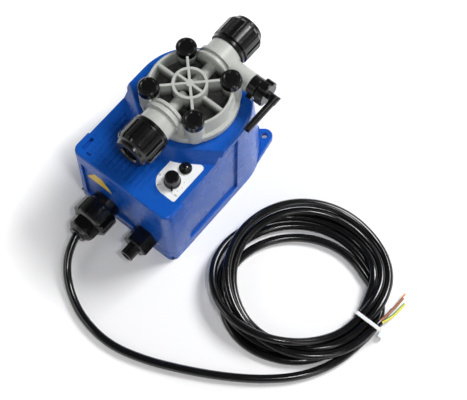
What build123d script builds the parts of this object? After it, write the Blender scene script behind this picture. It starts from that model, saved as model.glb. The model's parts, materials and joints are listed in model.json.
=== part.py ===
from build123d import *
import math
import os

os.makedirs("parts", exist_ok=True)

# Diaphragm metering pump, all sizes in millimetres.
# The origin is where the pump head's axis meets the wall. +Z points out of the wall,
# +Y up the wall from the suction side to the discharge side, and +X to the right.

# ---------------------------------------------------------------- housing sizes
BASE_HALF_WIDTH = 52.5
DECK_HALF_WIDTH = 50.0
ROUND_END_DRAFT = 7.0
BOTTOM_END = 90.0
DECK_HEIGHT = 83.3
TURRET_HEIGHT = 94.5
CORNER_RADIUS = 7.5
DECK_EDGE_RADIUS = 2.0
TURRET_EDGE_RADIUS = 4.0
WALL = 4.0
DECK_THICKNESS = 5.3
TURRET_PLATE = 4.0
COVER_THICKNESS = 3.0

# The turret's sloping front: an arc about the head axis with two tangent flanks.
SLOPE_FOOT_RADIUS = 50.0
SLOPE_TOP_RADIUS = 43.0
FLANK_ANGLE = 35.0

SIDE_PANEL_DEPTH = 2.0
SIDE_PANEL_FLOOR = 10.0
SIDE_PANEL_LOW_END = 70.0
SIDE_PANEL_HIGH_END = 2.0
SIDE_PANEL_TAPER = 3.5

END_PANEL_DEPTH = 2.0
END_PANEL_LEFT = -42.0
END_PANEL_RIGHT = 12.0
END_PANEL_FLOOR = 12.0
END_PANEL_TOP = 68.0
VENT_SLOT_HEIGHT = 45.5

FLUTE_COUNT = 12
FLUTE_PITCH = 4.7
FLUTE_WIDTH = 2.2
FLUTE_DEPTH = 0.8
FLUTE_START = -38.0
FLUTE_MARGIN = 7.0

EAR_X = 38.3
EAR_Y = 49.0
EAR_RADIUS = 7.0
EAR_THICKNESS = 5.0
EAR_HOLE_RADIUS = 2.75

# ---------------------------------------------------------------- deck fittings
KNOB_X = 31.0
KNOB_Y = -60.3
KNOB_RADIUS = 6.9
KNOB_HEIGHT = 9.3
KNOB_SHAFT_RADIUS = 3.0
POINTER_ANGLE = -53.0
LED_X = 31.9
LED_Y = -45.2
LED_BEZEL_RADIUS = 5.2
LED_LENS_RADIUS = 3.9
LABEL_LEFT = 18.0
LABEL_RIGHT = 43.3
LABEL_THICKNESS = 0.6
LABEL_SUNK = 0.4
LABEL_GAP_TO_SLOPE = 1.0

# ---------------------------------------------------------------- pump head sizes
BACKPLATE_THICKNESS = 3.0
BACKPLATE_RADIUS = 38.5
FLANGE_RADIUS = 39.5
FLANGE_THICKNESS = 5.5
RIM_FOOT_RADIUS = 36.0
RIM_TOP_RADIUS = 34.5
RIM_INNER_RADIUS = 32.3
RIM_HEIGHT = 20.0
POCKET_FLOOR = 8.5
RIB_TOP = 26.0
RIB_THICKNESS = 2.2
HUB_RADIUS = 3.2
RING_RADIUS = 14.4
RING_WALL = 2.3
BOLT_OFFSET = 23.0
BOSS_RADIUS = 8.3
BOSS_HEIGHT = 20.0
COUNTERBORE_RADIUS = 5.2
COUNTERBORE_DEPTH = 7.5
CAP_RADIUS = 8.5
CAP_HEIGHT = 7.5
BOLT_RADIUS = 2.5
BOLT_CLEARANCE = 0.25
PORT_AXIS = 112.5
NECK_RADIUS = 14.5
NECK_RING = 31.0
NECK_RING_RADIUS = 16.5
NECK_BEAD_RADIUS = 15.6
NECK_START = 25.5
NECK_END = 45.0
SPIGOT_RADIUS = 12.6
SPIGOT_LENGTH = 15.0
CHANNEL_RADIUS = 2.5
CHANNEL_WALL = 2.5
CHANNEL_PORT = 12.0
CHAMBER_RADIUS = 21.0
CHAMBER_DEPTH = 3.0
DIAPHRAGM_RADIUS = 26.0
DIAPHRAGM_THICKNESS = 2.0

# ---------------------------------------------------------------- valves and unions
VALVE_START = 38.0
VALVE_LENGTH = 21.0
VALVE_RADIUS = 7.95
SEAT_LENGTH = 5.0
SEAT_HOLE_RADIUS = 2.8
BALL_RADIUS = 4.0
BALL_LIFT = 1.5
BALL_SIDE_CLEARANCE = 0.35
SEAT_CLEARANCE = 0.1
SEAL_THICKNESS = 1.5
NIPPLE_FLANGE = 3.0
NIPPLE_FLANGE_RADIUS = 11.8
NIPPLE_BORE = 2.4
NIPPLE_TIP_RADIUS = 4.0
NIPPLE_ROOT_RADIUS = 5.0
NIPPLE_LENGTH = 4.2
NUT_RADIUS = 17.0
NUT_LENGTH = 28.2
NUT_END_WALL = 4.5
NUT_MOUTH_RADIUS = 7.2
NUT_GROOVES = 16
NUT_GROOVE_DEPTH = 1.5
NUT_GROOVE_WIDTH = 2.3
THREAD_CLEARANCE = 0.3

BLEED_Y = 35.0
BLEED_BOSS_RADIUS = 8.7
BLEED_BOSS_END = 34.0
BLEED_COLLAR_RADIUS = 8.5
BLEED_COLLAR_LENGTH = 9.0
BLEED_KNOB_RADIUS = 11.0
BLEED_KNOB_LENGTH = 7.5
BLEED_KNOB_LOBES = 6
SPOUT_RADIUS = 2.9
SPOUT_BORE = 1.6
SPOUT_LENGTH = 35.0
SPOUT_OFFSET = 5.8
ELBOW_RADIUS = 3.4
ELBOW_SHOULDER = 4.4
TURNING_GAP = 0.3

# ---------------------------------------------------------------- drive unit sizes
FRAME_RADIUS = 25.0
FRAME_WALL = 2.5
FRAME_FLOOR = 28.0
FRAME_PLATE = 4.0
ARMATURE_RADIUS = 12.0
ARMATURE_BASE = 40.3
ARMATURE_TOP = 68.4
POLE_BASE = 70.0
SHAFT_RADIUS = 4.0
SLIDING_FIT = 0.05

# ---------------------------------------------------------------- cable entries
GLAND_X = -21.0
GLAND_Z = 17.6
GLAND_NUT_LENGTH = 17.5
GLAND_FLANGE = 7.6
GLAND_FLANGE_RADIUS = 12.9
GLAND_DOME_LENGTH = 13.7
GLAND_DOME_RADIUS = 12.0
GLAND_MOUTH_RADIUS = 7.8
SOCKET_X = 24.0
SOCKET_Z = 20.0
SOCKET_ACROSS_FLATS = 20.6
SOCKET_LENGTH = 15.3
SOCKET_TUBE_RADIUS = 5.85
SOCKET_TUBE_LENGTH = 10.2
SOCKET_BORE = 3.5

CORD_DIAMETER = 7.0
COIL_CENTRE = (145.4, -37.4)
COIL_OUTER = (76.0, 72.5)
COIL_HOLE_CENTRE = (149.7, -43.7)
COIL_HOLE = (51.0, 44.0)
COIL_TURN = 39.6
COIL_HEIGHT = 15.0
TIE_Y = -33.0
TIE_WIDTH = 3.0
TIE_THICKNESS = 1.2
WIRE_DIAMETER = 2.4

# ---------------------------------------------------------------- derived places
HEAD_BASE = TURRET_HEIGHT + BACKPLATE_THICKNESS
BOSS_TOP = HEAD_BASE + BOSS_HEIGHT
UNION_START = NECK_END + TURNING_GAP
UNION_END = UNION_START + NUT_LENGTH
SPIGOT_END = NECK_END + SPIGOT_LENGTH
NIPPLE_FACE = SPIGOT_END + SEAL_THICKNESS
DRAFT = (BASE_HALF_WIDTH - DECK_HALF_WIDTH) / DECK_HEIGHT
BOARD_HEIGHT = 70.0
BOARD_THICKNESS = 1.6
DECK_UNDERSIDE = DECK_HEIGHT - DECK_THICKNESS
LABEL_TOP = DECK_HEIGHT - LABEL_SUNK + LABEL_THICKNESS


def save(shape, name):
    export_step(shape, "parts/" + name + ".step")


def half_width(height):
    """Half of the housing's width at a height above the wall."""
    return BASE_HALF_WIDTH - DRAFT * height


def round_end(height):
    """Where the round end's arc is centred: further up the wall near the wall."""
    return ROUND_END_DRAFT * (1 - height / TURRET_HEIGHT)


def dee_face(height, inset, end_inset=None):
    """The housing's outline at a height: straight sides, square low end, round top end."""
    width = half_width(height) - inset
    low = -(BOTTOM_END - (inset if end_inset is None else end_inset))
    high = round_end(height)
    with BuildSketch(Plane.XY.offset(height)) as sketch:
        with BuildLine():
            Line((-width, high), (-width, low))
            Line((-width, low), (width, low))
            Line((width, low), (width, high))
            RadiusArc((width, high), (-width, high), -width)
        make_face()
    return sketch.sketch.face()


def dee_solid(low, high, inset):
    return loft([dee_face(low, inset), dee_face(high, inset)], ruled=True)


def front_face(radius, height):
    """The plan of the turret's front, an arc about the head axis with tangent flanks."""
    turn = math.radians(FLANK_ANGLE)
    touch = (radius * math.sin(turn), -radius * math.cos(turn))
    reach = 2 * BASE_HALF_WIDTH
    far = (touch[0] + reach * math.cos(turn), touch[1] + reach * math.sin(turn))
    with BuildSketch(Plane.XY.offset(height)) as sketch:
        with BuildLine():
            RadiusArc((-touch[0], touch[1]), touch, -radius)
            Line(touch, far)
            Line(far, (far[0], 2 * reach))
            Line((far[0], 2 * reach), (-far[0], 2 * reach))
            Line((-far[0], 2 * reach), (-far[0], far[1]))
            Line((-far[0], far[1]), (-touch[0], touch[1]))
        make_face()
    return sketch.sketch.face()


def front_wedge():
    faces = [front_face(SLOPE_FOOT_RADIUS, DECK_HEIGHT), front_face(SLOPE_TOP_RADIUS, TURRET_HEIGHT)]
    return loft(faces, ruled=True)


def box_between(low, high):
    size = [b - a for a, b in zip(low, high)]
    centre = [(a + b) / 2 for a, b in zip(low, high)]
    return Pos(*centre) * Box(*size)


def rod(radius, low, high, x=0.0, y=0.0):
    """A cylinder along Z between two heights."""
    return Pos(x, y, (low + high) / 2) * Cylinder(radius, high - low)


def tube(outer, inner, low, high, x=0.0, y=0.0):
    return rod(outer, low, high, x, y) - rod(inner, low, high, x, y)


def revolved(points):
    """A solid of revolution about Z from (radius, height) points."""
    with BuildSketch(Plane.XZ) as sketch:
        with BuildLine():
            Polyline(*points, close=True)
        make_face()
    return revolve(sketch.sketch, Axis.Z)


def port_place(side):
    """Puts local +Z along the suction (-1) or discharge (+1) port, out from the head axis."""
    return Plane(origin=(0, 0, PORT_AXIS), x_dir=(1, 0, 0), z_dir=(0, side, 0)).location


def end_place(x, z):
    """Puts local +Z out of the housing's low end."""
    return Plane(origin=(x, -BOTTOM_END, z), x_dir=(1, 0, 0), z_dir=(0, -1, 0)).location


def bleed_place():
    """Puts local +Z along the bleed valve, out to the right."""
    return Plane(origin=(0, BLEED_Y, PORT_AXIS), x_dir=(0, -1, 0), z_dir=(1, 0, 0)).location


def bolt_places():
    return [(sx * BOLT_OFFSET, sy * BOLT_OFFSET) for sx in (-1, 1) for sy in (-1, 1)]


# ---------------------------------------------------------------- housing
COVER_SCREW_PLACES = [(-44.5, -80.0), (44.5, -80.0), (-44.5, -6.0), (44.5, -6.0)]
COVER_POST_RADIUS = 4.5
COVER_POST_HEIGHT = 22.0
COVER_SCREW_RADIUS = 1.5
BOARD_POST_PLACES = [(-38.0, -82.0), (38.0, -82.0), (-38.0, -54.0), (17.0, -54.0)]
BOARD_POST_RADIUS = 3.0
BOARD_SCREW_RADIUS = 1.2
COLUMN_RADIUS = 6.0
COLUMN_BASE = 72.0


def side_panel(side):
    """The shallow panel in a side wall, narrower towards its ledge and open at the deck."""
    inner = half_width(SIDE_PANEL_FLOOR) + 5.0
    with BuildSketch(Plane.YZ) as sketch:
        with BuildLine():
            Polyline(
                (-SIDE_PANEL_LOW_END + SIDE_PANEL_TAPER, SIDE_PANEL_FLOOR),
                (-SIDE_PANEL_HIGH_END - SIDE_PANEL_TAPER, SIDE_PANEL_FLOOR),
                (-SIDE_PANEL_HIGH_END, TURRET_HEIGHT - TURRET_EDGE_RADIUS - 1.5),
                (-SIDE_PANEL_LOW_END, TURRET_HEIGHT - TURRET_EDGE_RADIUS - 1.5),
                close=True,
            )
        make_face()
    slab = extrude(sketch.sketch, amount=side * inner)
    return slab - dee_solid(0, TURRET_HEIGHT, SIDE_PANEL_DEPTH)


def flute(index):
    """One shallow groove in the deck, running up to the turret's slope."""
    x = FLUTE_START + index * FLUTE_PITCH
    foot = SLOPE_FOOT_RADIUS + 2.5
    turn = math.radians(FLANK_ANGLE)
    if abs(x) < foot * math.sin(turn):
        stop = -math.sqrt(foot * foot - x * x)
    else:
        stop = -foot / math.cos(turn) + abs(x) * math.tan(turn)
    start = -BOTTOM_END + FLUTE_MARGIN
    low = DECK_HEIGHT - FLUTE_DEPTH
    return box_between((x, start, low), (x + FLUTE_WIDTH, stop, DECK_HEIGHT + 1))


def deck_pocket():
    """The small open pocket and notch near the deck's left corner."""
    pocket = box_between((-44.5, -83.5, DECK_HEIGHT - 3.0), (-41.5, -71.5, DECK_HEIGHT + 1))
    notch = box_between((-38.6, -84.6, DECK_HEIGHT - 2.0), (-34.4, -83.2, DECK_HEIGHT + 1))
    return pocket + notch


def label_face(grow, height):
    """The label's outline: round about the knob, and parallel to the turret's slope."""
    low = KNOB_Y - (KNOB_X - LABEL_LEFT)
    with BuildSketch(Plane.XY.offset(height)) as sketch:
        with BuildLine():
            Polyline(
                (LABEL_LEFT, low), (LABEL_RIGHT, low), (LABEL_RIGHT, -20), (LABEL_LEFT, -20), close=True
            )
        make_face()
        corner = sketch.vertices().sort_by_distance((LABEL_LEFT, low, height))[0]
        fillet(corner, KNOB_X - LABEL_LEFT - 0.01)
    plate = sketch.sketch - front_face(SLOPE_FOOT_RADIUS + LABEL_GAP_TO_SLOPE, height)
    right_end = plate.vertices().sort_by(Axis.Y)[-1]
    plate = fillet(right_end, 3.0)
    right_low = plate.vertices().sort_by_distance((LABEL_RIGHT, low, height))[0]
    plate = fillet(right_low, 1.5)
    return offset(plate, grow) if grow else plate


def housing_body():
    """The outer form: a drafted D with the turret standing above the deck."""
    body = dee_solid(COVER_THICKNESS, TURRET_HEIGHT, 0)
    corners = body.edges().filter_by(lambda edge: abs(edge.center().Y + BOTTOM_END) < 1)
    corners = corners.filter_by(lambda edge: abs(edge.center().X) > DECK_HALF_WIDTH - 2)
    body = fillet(corners, CORNER_RADIUS)
    reach = 2 * BASE_HALF_WIDTH
    above = box_between((-reach, -reach, DECK_HEIGHT), (reach, -SLOPE_FOOT_RADIUS / 4, TURRET_HEIGHT + 1))
    body = body - (above - front_wedge())
    deck = [face for face in body.faces() if abs(face.center().Z - DECK_HEIGHT) < 0.01]
    rim = [edge for edge in deck[0].edges() if edge.center().Y < -DECK_HALF_WIDTH - DECK_EDGE_RADIUS]
    rim = [edge for edge in rim if distance_from_axis(edge) > SLOPE_FOOT_RADIUS + 1]
    body = fillet(rim, DECK_EDGE_RADIUS)
    top = [face for face in body.faces() if abs(face.center().Z - TURRET_HEIGHT) < 0.01]
    return fillet(top[0].edges(), TURRET_EDGE_RADIUS * 0.6)


def distance_from_axis(edge):
    centre = edge.center()
    return math.hypot(centre.X, centre.Y)


def cavity():
    """The housing's hollow under the deck and up into the turret."""
    room = dee_solid(COVER_THICKNESS, DECK_UNDERSIDE, WALL)
    turret = rod(SLOPE_TOP_RADIUS - WALL, DECK_UNDERSIDE - 1, TURRET_HEIGHT - TURRET_PLATE)
    return room + turret


def gasket_ring(low, high):
    return dee_solid(low, high, 1.2) - dee_solid(low, high, 2.8)


def housing_shell():
    shell = housing_body() - cavity()
    for side in (-1, 1):
        shell -= side_panel(side)
    shell -= box_between(
        (END_PANEL_LEFT, -BOTTOM_END - 1, END_PANEL_FLOOR),
        (END_PANEL_RIGHT, -BOTTOM_END + END_PANEL_DEPTH, END_PANEL_TOP),
    )
    shell -= box_between(
        (0, -BOTTOM_END - 1, VENT_SLOT_HEIGHT),
        (END_PANEL_RIGHT, -BOTTOM_END + END_PANEL_DEPTH + 1.2, VENT_SLOT_HEIGHT + 1.2),
    )
    for index in range(FLUTE_COUNT):
        shell -= flute(index)
    shell -= deck_pocket()
    shell -= extrude(label_face(0.15, DECK_HEIGHT - LABEL_SUNK), 2 * LABEL_SUNK)
    ceiling = TURRET_HEIGHT - TURRET_PLATE
    for x, y in bolt_places():
        shell += rod(COLUMN_RADIUS, COLUMN_BASE, ceiling + 0.5, x, y)
        shell -= rod(BOLT_RADIUS + 0.02, COLUMN_BASE + 2, TURRET_HEIGHT + 1, x, y)
    for x, y in COVER_SCREW_PLACES:
        shell += rod(COVER_POST_RADIUS, COVER_THICKNESS, COVER_POST_HEIGHT, x, y)
        shell -= rod(COVER_SCREW_RADIUS + 0.02, 0, COVER_POST_HEIGHT - 3, x, y)
    for x, y in BOARD_POST_PLACES:
        shell += rod(BOARD_POST_RADIUS, BOARD_HEIGHT + BOARD_THICKNESS, DECK_UNDERSIDE + 0.5, x, y)
        shell -= rod(BOARD_SCREW_RADIUS + 0.02, BOARD_HEIGHT, DECK_UNDERSIDE - 1, x, y)
    shell -= rod(ARMATURE_RADIUS + 2.0, DECK_UNDERSIDE, TURRET_HEIGHT + 1)
    shell -= rod(KNOB_SHAFT_RADIUS + TURNING_GAP, DECK_UNDERSIDE - 1, DECK_HEIGHT + 1, KNOB_X, KNOB_Y)
    shell -= rod(LED_LENS_RADIUS + 0.7, DECK_UNDERSIDE - 1, DECK_HEIGHT + 1, LED_X, LED_Y)
    shell -= end_place(GLAND_X, GLAND_Z) * rod(8.05, -WALL - 6, 1)
    shell -= end_place(GLAND_X, GLAND_Z) * rod(GLAND_FLANGE_RADIUS + 0.3, -END_PANEL_DEPTH, 1)
    shell -= end_place(SOCKET_X, SOCKET_Z) * rod(8.05, -WALL - 6, 1)
    return shell - gasket_ring(COVER_THICKNESS, COVER_THICKNESS + 1.5)


def ear_plan(side):
    """The flat plan of one mounting ear, hulled from its eye to the housing's side."""
    eye = Pos(side * EAR_X, EAR_Y) * Circle(EAR_RADIUS)
    root = Pos(side * (half_width(0) - 9.8), 25.0) * Circle(6.5)
    inner = Pos(side * 26.0, 40.0) * Circle(6.0)
    return make_hull((eye + root + inner).edges())


def back_cover():
    """The wall plate with its two drilled ears and their gussets."""
    plate = dee_solid(0, COVER_THICKNESS, 0)
    corners = plate.edges().filter_by(lambda edge: abs(edge.center().Y + BOTTOM_END) < 1)
    corners = corners.filter_by(lambda edge: abs(edge.center().X) > DECK_HALF_WIDTH - 2)
    plate = fillet(corners, CORNER_RADIUS)
    keep_out = dee_solid(COVER_THICKNESS, TURRET_HEIGHT, -0.2)
    for side in (-1, 1):
        ear = extrude(ear_plan(side), EAR_THICKNESS)
        plate += fillet(ear.edges().group_by(Axis.Z)[-1], 0.8) - keep_out
        plate += ear_gusset(side) - keep_out
        plate -= rod(EAR_HOLE_RADIUS, -1, EAR_THICKNESS + 1, side * EAR_X, EAR_Y)
    for x, y in COVER_SCREW_PLACES:
        plate -= rod(COVER_SCREW_RADIUS + 0.3, -1, COVER_THICKNESS + 1, x, y)
        plate -= rod(3.2, -1, 2.0, x, y)
    return plate


def ear_gusset(side):
    """The upright web that stiffens an ear against the housing's round end."""
    turn = math.degrees(math.atan2(EAR_Y, EAR_X))
    with BuildSketch(Plane.XZ) as sketch:
        with BuildLine():
            Polyline((half_width(0) - 4, 1), (60.0, 1), (60.0, EAR_THICKNESS), (50.0, 15.0), (48.0, 15.0),
                     close=True)
        make_face()
    web = extrude(sketch.sketch, 1.25, both=True)
    return Rot(0, 0, turn + 9.0 if side > 0 else 180 - turn - 9.0) * web


def cover_gasket():
    return gasket_ring(COVER_THICKNESS, COVER_THICKNESS + 1.5)


def cover_screws():
    screws = []
    for x, y in COVER_SCREW_PLACES:
        head = rod(3.0, 0.2, 1.98, x, y)
        screws.append(head + rod(COVER_SCREW_RADIUS, 1.9, COVER_POST_HEIGHT - 5, x, y))
    return Compound(children=screws)


# ---------------------------------------------------------------- deck fittings
def label_plate():
    plate = extrude(label_face(0, DECK_HEIGHT - LABEL_SUNK), LABEL_THICKNESS)
    plate -= rod(KNOB_SHAFT_RADIUS + TURNING_GAP, 0, LABEL_TOP + 1, KNOB_X, KNOB_Y)
    return plate - rod(LED_LENS_RADIUS + 0.7, 0, LABEL_TOP + 1, LED_X, LED_Y)


def led_bezel():
    """A turned ring with a rounded flange on the label and a barrel through the deck."""
    barrel = LED_LENS_RADIUS + 0.65
    profile = [
        (LED_LENS_RADIUS + 0.02, DECK_UNDERSIDE), (barrel, DECK_UNDERSIDE), (barrel, LABEL_TOP),
        (LED_BEZEL_RADIUS, LABEL_TOP), (LED_BEZEL_RADIUS, LABEL_TOP + 1.5),
        (LED_BEZEL_RADIUS - 0.7, LABEL_TOP + 2.2), (LED_LENS_RADIUS + 0.02, LABEL_TOP + 2.2),
    ]
    return Pos(LED_X, LED_Y) * revolved(profile)


def led_lens():
    low = BOARD_HEIGHT + BOARD_THICKNESS
    neck = LABEL_TOP + 2.2
    body = rod(LED_LENS_RADIUS, low + 3, neck)
    legs = rod(1.6, low, low + 3)
    dome = Pos(0, 0, neck) * Sphere(LED_LENS_RADIUS, arc_size1=0)
    return Pos(LED_X, LED_Y) * (body + dome + legs)


def control_knob():
    """The stroke knob: fluted skirt, slightly tapered grip and a pointer nib."""
    low = LABEL_TOP + TURNING_GAP
    high = low + KNOB_HEIGHT
    grip = revolved([(0, low), (KNOB_RADIUS, low), (KNOB_RADIUS, low + 1.6), (KNOB_RADIUS - 0.6, low + 2.2),
                     (KNOB_RADIUS - 1.1, high - 0.9), (KNOB_RADIUS - 2.0, high), (0, high)])
    for index in range(12):
        angle = math.radians(POINTER_ANGLE + 30 * index + 15)
        reach = KNOB_RADIUS - 0.2
        grip -= rod(0.55, low + 2.4, high + 1, reach * math.cos(angle), reach * math.sin(angle))
    nib = box_between((KNOB_RADIUS - 1.5, -0.9, low), (KNOB_RADIUS + 1.4, 0.9, low + 1.5))
    grip += Rot(0, 0, POINTER_ANGLE) * nib
    grip -= rod(KNOB_SHAFT_RADIUS, low - 1, high - 2)
    return Pos(KNOB_X, KNOB_Y) * grip


def knob_shaft():
    low = BOARD_HEIGHT + BOARD_THICKNESS + 3.0
    return rod(KNOB_SHAFT_RADIUS, low, LABEL_TOP + TURNING_GAP + KNOB_HEIGHT - 2, KNOB_X, KNOB_Y)


def potentiometer():
    low = BOARD_HEIGHT + BOARD_THICKNESS
    body = box_between((KNOB_X - 6.5, KNOB_Y - 6.5, low), (KNOB_X + 6.5, KNOB_Y + 6.5, DECK_UNDERSIDE - 0.1))
    return body - rod(KNOB_SHAFT_RADIUS + SLIDING_FIT, low + 2.5, DECK_HEIGHT, KNOB_X, KNOB_Y)


def control_board():
    """The circuit board below the deck, with its main components in rows."""
    high = BOARD_HEIGHT + BOARD_THICKNESS
    board = box_between((-41, -85, BOARD_HEIGHT), (40, -42, high))
    board -= rod(FRAME_RADIUS + 24.0, BOARD_HEIGHT - 1, high + 1)
    for x, y in BOARD_POST_PLACES:
        board -= rod(BOARD_SCREW_RADIUS + 0.2, BOARD_HEIGHT - 1, high + 1, x, y)
    board += box_between((-30, -72, BOARD_HEIGHT - 18), (-8, -56, BOARD_HEIGHT))
    board += rod(6.0, BOARD_HEIGHT - 20, BOARD_HEIGHT, 4, -66)
    board += box_between((14, -74, BOARD_HEIGHT - 9), (22, -60, BOARD_HEIGHT))
    return board


def board_screws():
    screws = []
    for x, y in BOARD_POST_PLACES:
        shank = rod(BOARD_SCREW_RADIUS, BOARD_HEIGHT - 0.1, DECK_UNDERSIDE - 2, x, y)
        screws.append(shank + rod(2.4, BOARD_HEIGHT - 1.7, BOARD_HEIGHT, x, y))
    return Compound(children=screws)


# ---------------------------------------------------------------- drive unit
def solenoid_frame():
    high = TURRET_HEIGHT - TURRET_PLATE
    can = rod(FRAME_RADIUS, FRAME_FLOOR, high)
    can -= rod(FRAME_RADIUS - FRAME_WALL, FRAME_FLOOR + 3, high - FRAME_PLATE)
    return can - rod(6.0, high - FRAME_PLATE - 1, high + 1)


def coil_bobbin():
    low, high = FRAME_FLOOR + 12, TURRET_HEIGHT - TURRET_PLATE - FRAME_PLATE
    inner = ARMATURE_RADIUS + TURNING_GAP
    reach = FRAME_RADIUS - FRAME_WALL - 0.2
    return revolved([(inner, low), (reach, low), (reach, low + 2), (inner + 1.3, low + 2),
                     (inner + 1.3, high - 2), (reach, high - 2), (reach, high), (inner, high)])


def coil_winding():
    low, high = FRAME_FLOOR + 14, TURRET_HEIGHT - TURRET_PLATE - FRAME_PLATE - 2
    return tube(FRAME_RADIUS - FRAME_WALL - 1, ARMATURE_RADIUS + TURNING_GAP + 1.35, low, high)


def pole_piece():
    high = TURRET_HEIGHT - TURRET_PLATE - FRAME_PLATE
    pole = rod(ARMATURE_RADIUS + 0.2, POLE_BASE, high) - rod(7.6, POLE_BASE - 1, POLE_BASE + 9)
    return pole - rod(6.0, POLE_BASE, high + 1)


def guide_bush():
    low = POLE_BASE + 9.5
    return tube(5.98, SHAFT_RADIUS + SLIDING_FIT, low, TURRET_HEIGHT - TURRET_PLATE)


def stroke_stop():
    """The rubber buffer that the armature comes back to."""
    top = ARMATURE_BASE - 0.2
    return revolved([(0, FRAME_FLOOR + 3), (9, FRAME_FLOOR + 3), (9, top - 3), (6, top), (0, top)])


def armature():
    body = rod(ARMATURE_RADIUS, ARMATURE_BASE, ARMATURE_TOP)
    body = chamfer(body.edges().group_by(Axis.Z)[-1], 1.0)
    return body - rod(SHAFT_RADIUS, ARMATURE_TOP - 12, ARMATURE_TOP + 1)


def plunger_shaft():
    return rod(SHAFT_RADIUS, ARMATURE_TOP - 12, HEAD_BASE - 2.4)


def diaphragm_plate():
    """The dished support plate on the plunger, just behind the diaphragm."""
    top = HEAD_BASE - 0.1
    return revolved([(0, top - 2.3), (7, top - 2.3), (11, top - 1.2), (11, top), (0, top)])


def return_spring():
    low, high = ARMATURE_TOP + 0.6, POLE_BASE + 8.4
    turns = 4
    path = Helix(pitch=(high - low) / turns, height=high - low, radius=6.3)
    start = Plane(origin=path @ 0, z_dir=path % 0)
    wire = sweep(start * Circle(0.55), path=path)
    return Pos(0, 0, low) * wire


# ---------------------------------------------------------------- pump head
def head_backplate():
    plate = tube(BACKPLATE_RADIUS, ARMATURE_RADIUS + 1.0, TURRET_HEIGHT, HEAD_BASE)
    for x, y in bolt_places():
        plate -= rod(BOLT_RADIUS + BOLT_CLEARANCE, TURRET_HEIGHT - 1, HEAD_BASE + 1, x, y)
    return plate


def diaphragm():
    """A flat disc with a rolled convolution, clamped at its rim."""
    low = HEAD_BASE
    high = low + DIAPHRAGM_THICKNESS
    return revolved([(0, low), (DIAPHRAGM_RADIUS - 0.05, low), (DIAPHRAGM_RADIUS - 0.05, high), (19, high),
                     (17, high + 0.5), (15, high + 0.5), (13, high), (0, high)])


def head_port(side):
    """One valve neck: stepped barrel, ring, threaded spigot and the flow channel in."""
    profile = [
        (0, NECK_START), (NECK_BEAD_RADIUS - 1, NECK_START), (NECK_BEAD_RADIUS, NECK_START + 1),
        (NECK_BEAD_RADIUS, NECK_START + 3), (NECK_RADIUS, NECK_START + 3), (NECK_RADIUS, NECK_RING),
        (NECK_RING_RADIUS, NECK_RING), (NECK_RING_RADIUS, NECK_RING + 3), (NECK_RADIUS, NECK_RING + 3),
        (NECK_RADIUS, NECK_END), (SPIGOT_RADIUS, NECK_END), (SPIGOT_RADIUS, SPIGOT_END), (0, SPIGOT_END),
    ]
    channel = rod(CHANNEL_RADIUS + CHANNEL_WALL, CHANNEL_PORT - 6, NECK_START + 1)
    channel = fillet(channel.edges().group_by(Axis.Z)[0], 1.0)
    port = port_place(side) * (revolved(profile) + channel)
    low = HEAD_BASE + POCKET_FLOOR - 0.5
    return port + rod(CHANNEL_RADIUS + 2.0, low, PORT_AXIS, 0, side * CHANNEL_PORT)


def head_port_bores(side):
    bore = rod(CHANNEL_RADIUS, CHANNEL_PORT, VALVE_START + 1)
    bore += rod(VALVE_RADIUS + SLIDING_FIT, VALVE_START, SPIGOT_END + 1)
    upright = rod(CHANNEL_RADIUS, HEAD_BASE + CHAMBER_DEPTH, PORT_AXIS, 0, side * CHANNEL_PORT)
    return port_place(side) * bore + upright


def head_dish():
    """The flange and the raised rim round the ribbed pocket."""
    flange_top = FLANGE_THICKNESS
    profile = [
        (0, 0), (FLANGE_RADIUS, 0), (FLANGE_RADIUS, flange_top - 0.8), (FLANGE_RADIUS - 0.8, flange_top),
        (RIM_FOOT_RADIUS, flange_top), (RIM_TOP_RADIUS, RIM_HEIGHT - 0.4), (RIM_TOP_RADIUS - 0.4, RIM_HEIGHT),
        (RIM_INNER_RADIUS + 0.4, RIM_HEIGHT), (RIM_INNER_RADIUS, RIM_HEIGHT - 0.4),
        (RIM_INNER_RADIUS - 0.6, POCKET_FLOOR), (0, POCKET_FLOOR),
    ]
    return Pos(0, 0, HEAD_BASE) * revolved(profile)


def head_ribs():
    """The hub and ring, thin ribs out to the bosses and round-topped bars to each side."""
    low = HEAD_BASE + POCKET_FLOOR - 0.5
    high = HEAD_BASE + RIB_TOP
    ribs = rod(HUB_RADIUS, low, high) + tube(RING_RADIUS, RING_RADIUS - RING_WALL, low, high)
    boss_reach = math.hypot(BOLT_OFFSET, BOLT_OFFSET)
    half = RIB_THICKNESS / 2
    for x, y in bolt_places():
        turn = math.degrees(math.atan2(y, x))
        tall = box_between((0, -half, low), (boss_reach - CAP_RADIUS - 0.4, half, high))
        short = box_between((0, -half, low), (boss_reach, half, BOSS_TOP - 0.3))
        ribs += Rot(0, 0, turn) * (tall + short)
    for side in (-1, 1):
        inner = box_between((0, -half, low), (RING_RADIUS, half, high))
        bar_top = HEAD_BASE + RIM_HEIGHT - 2.6
        bar = box_between((RING_RADIUS - 1, -2.0, low), (RIM_INNER_RADIUS + 0.5, 2.0, bar_top))
        crest = Pos((RING_RADIUS + RIM_INNER_RADIUS) / 2, 0, bar_top) * Rot(0, 90, 0)
        bar += crest * Cylinder(2.0, RIM_INNER_RADIUS - RING_RADIUS + 1.5)
        ribs += Rot(0, 0, 0 if side > 0 else 180) * (inner + bar)
    return ribs


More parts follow.
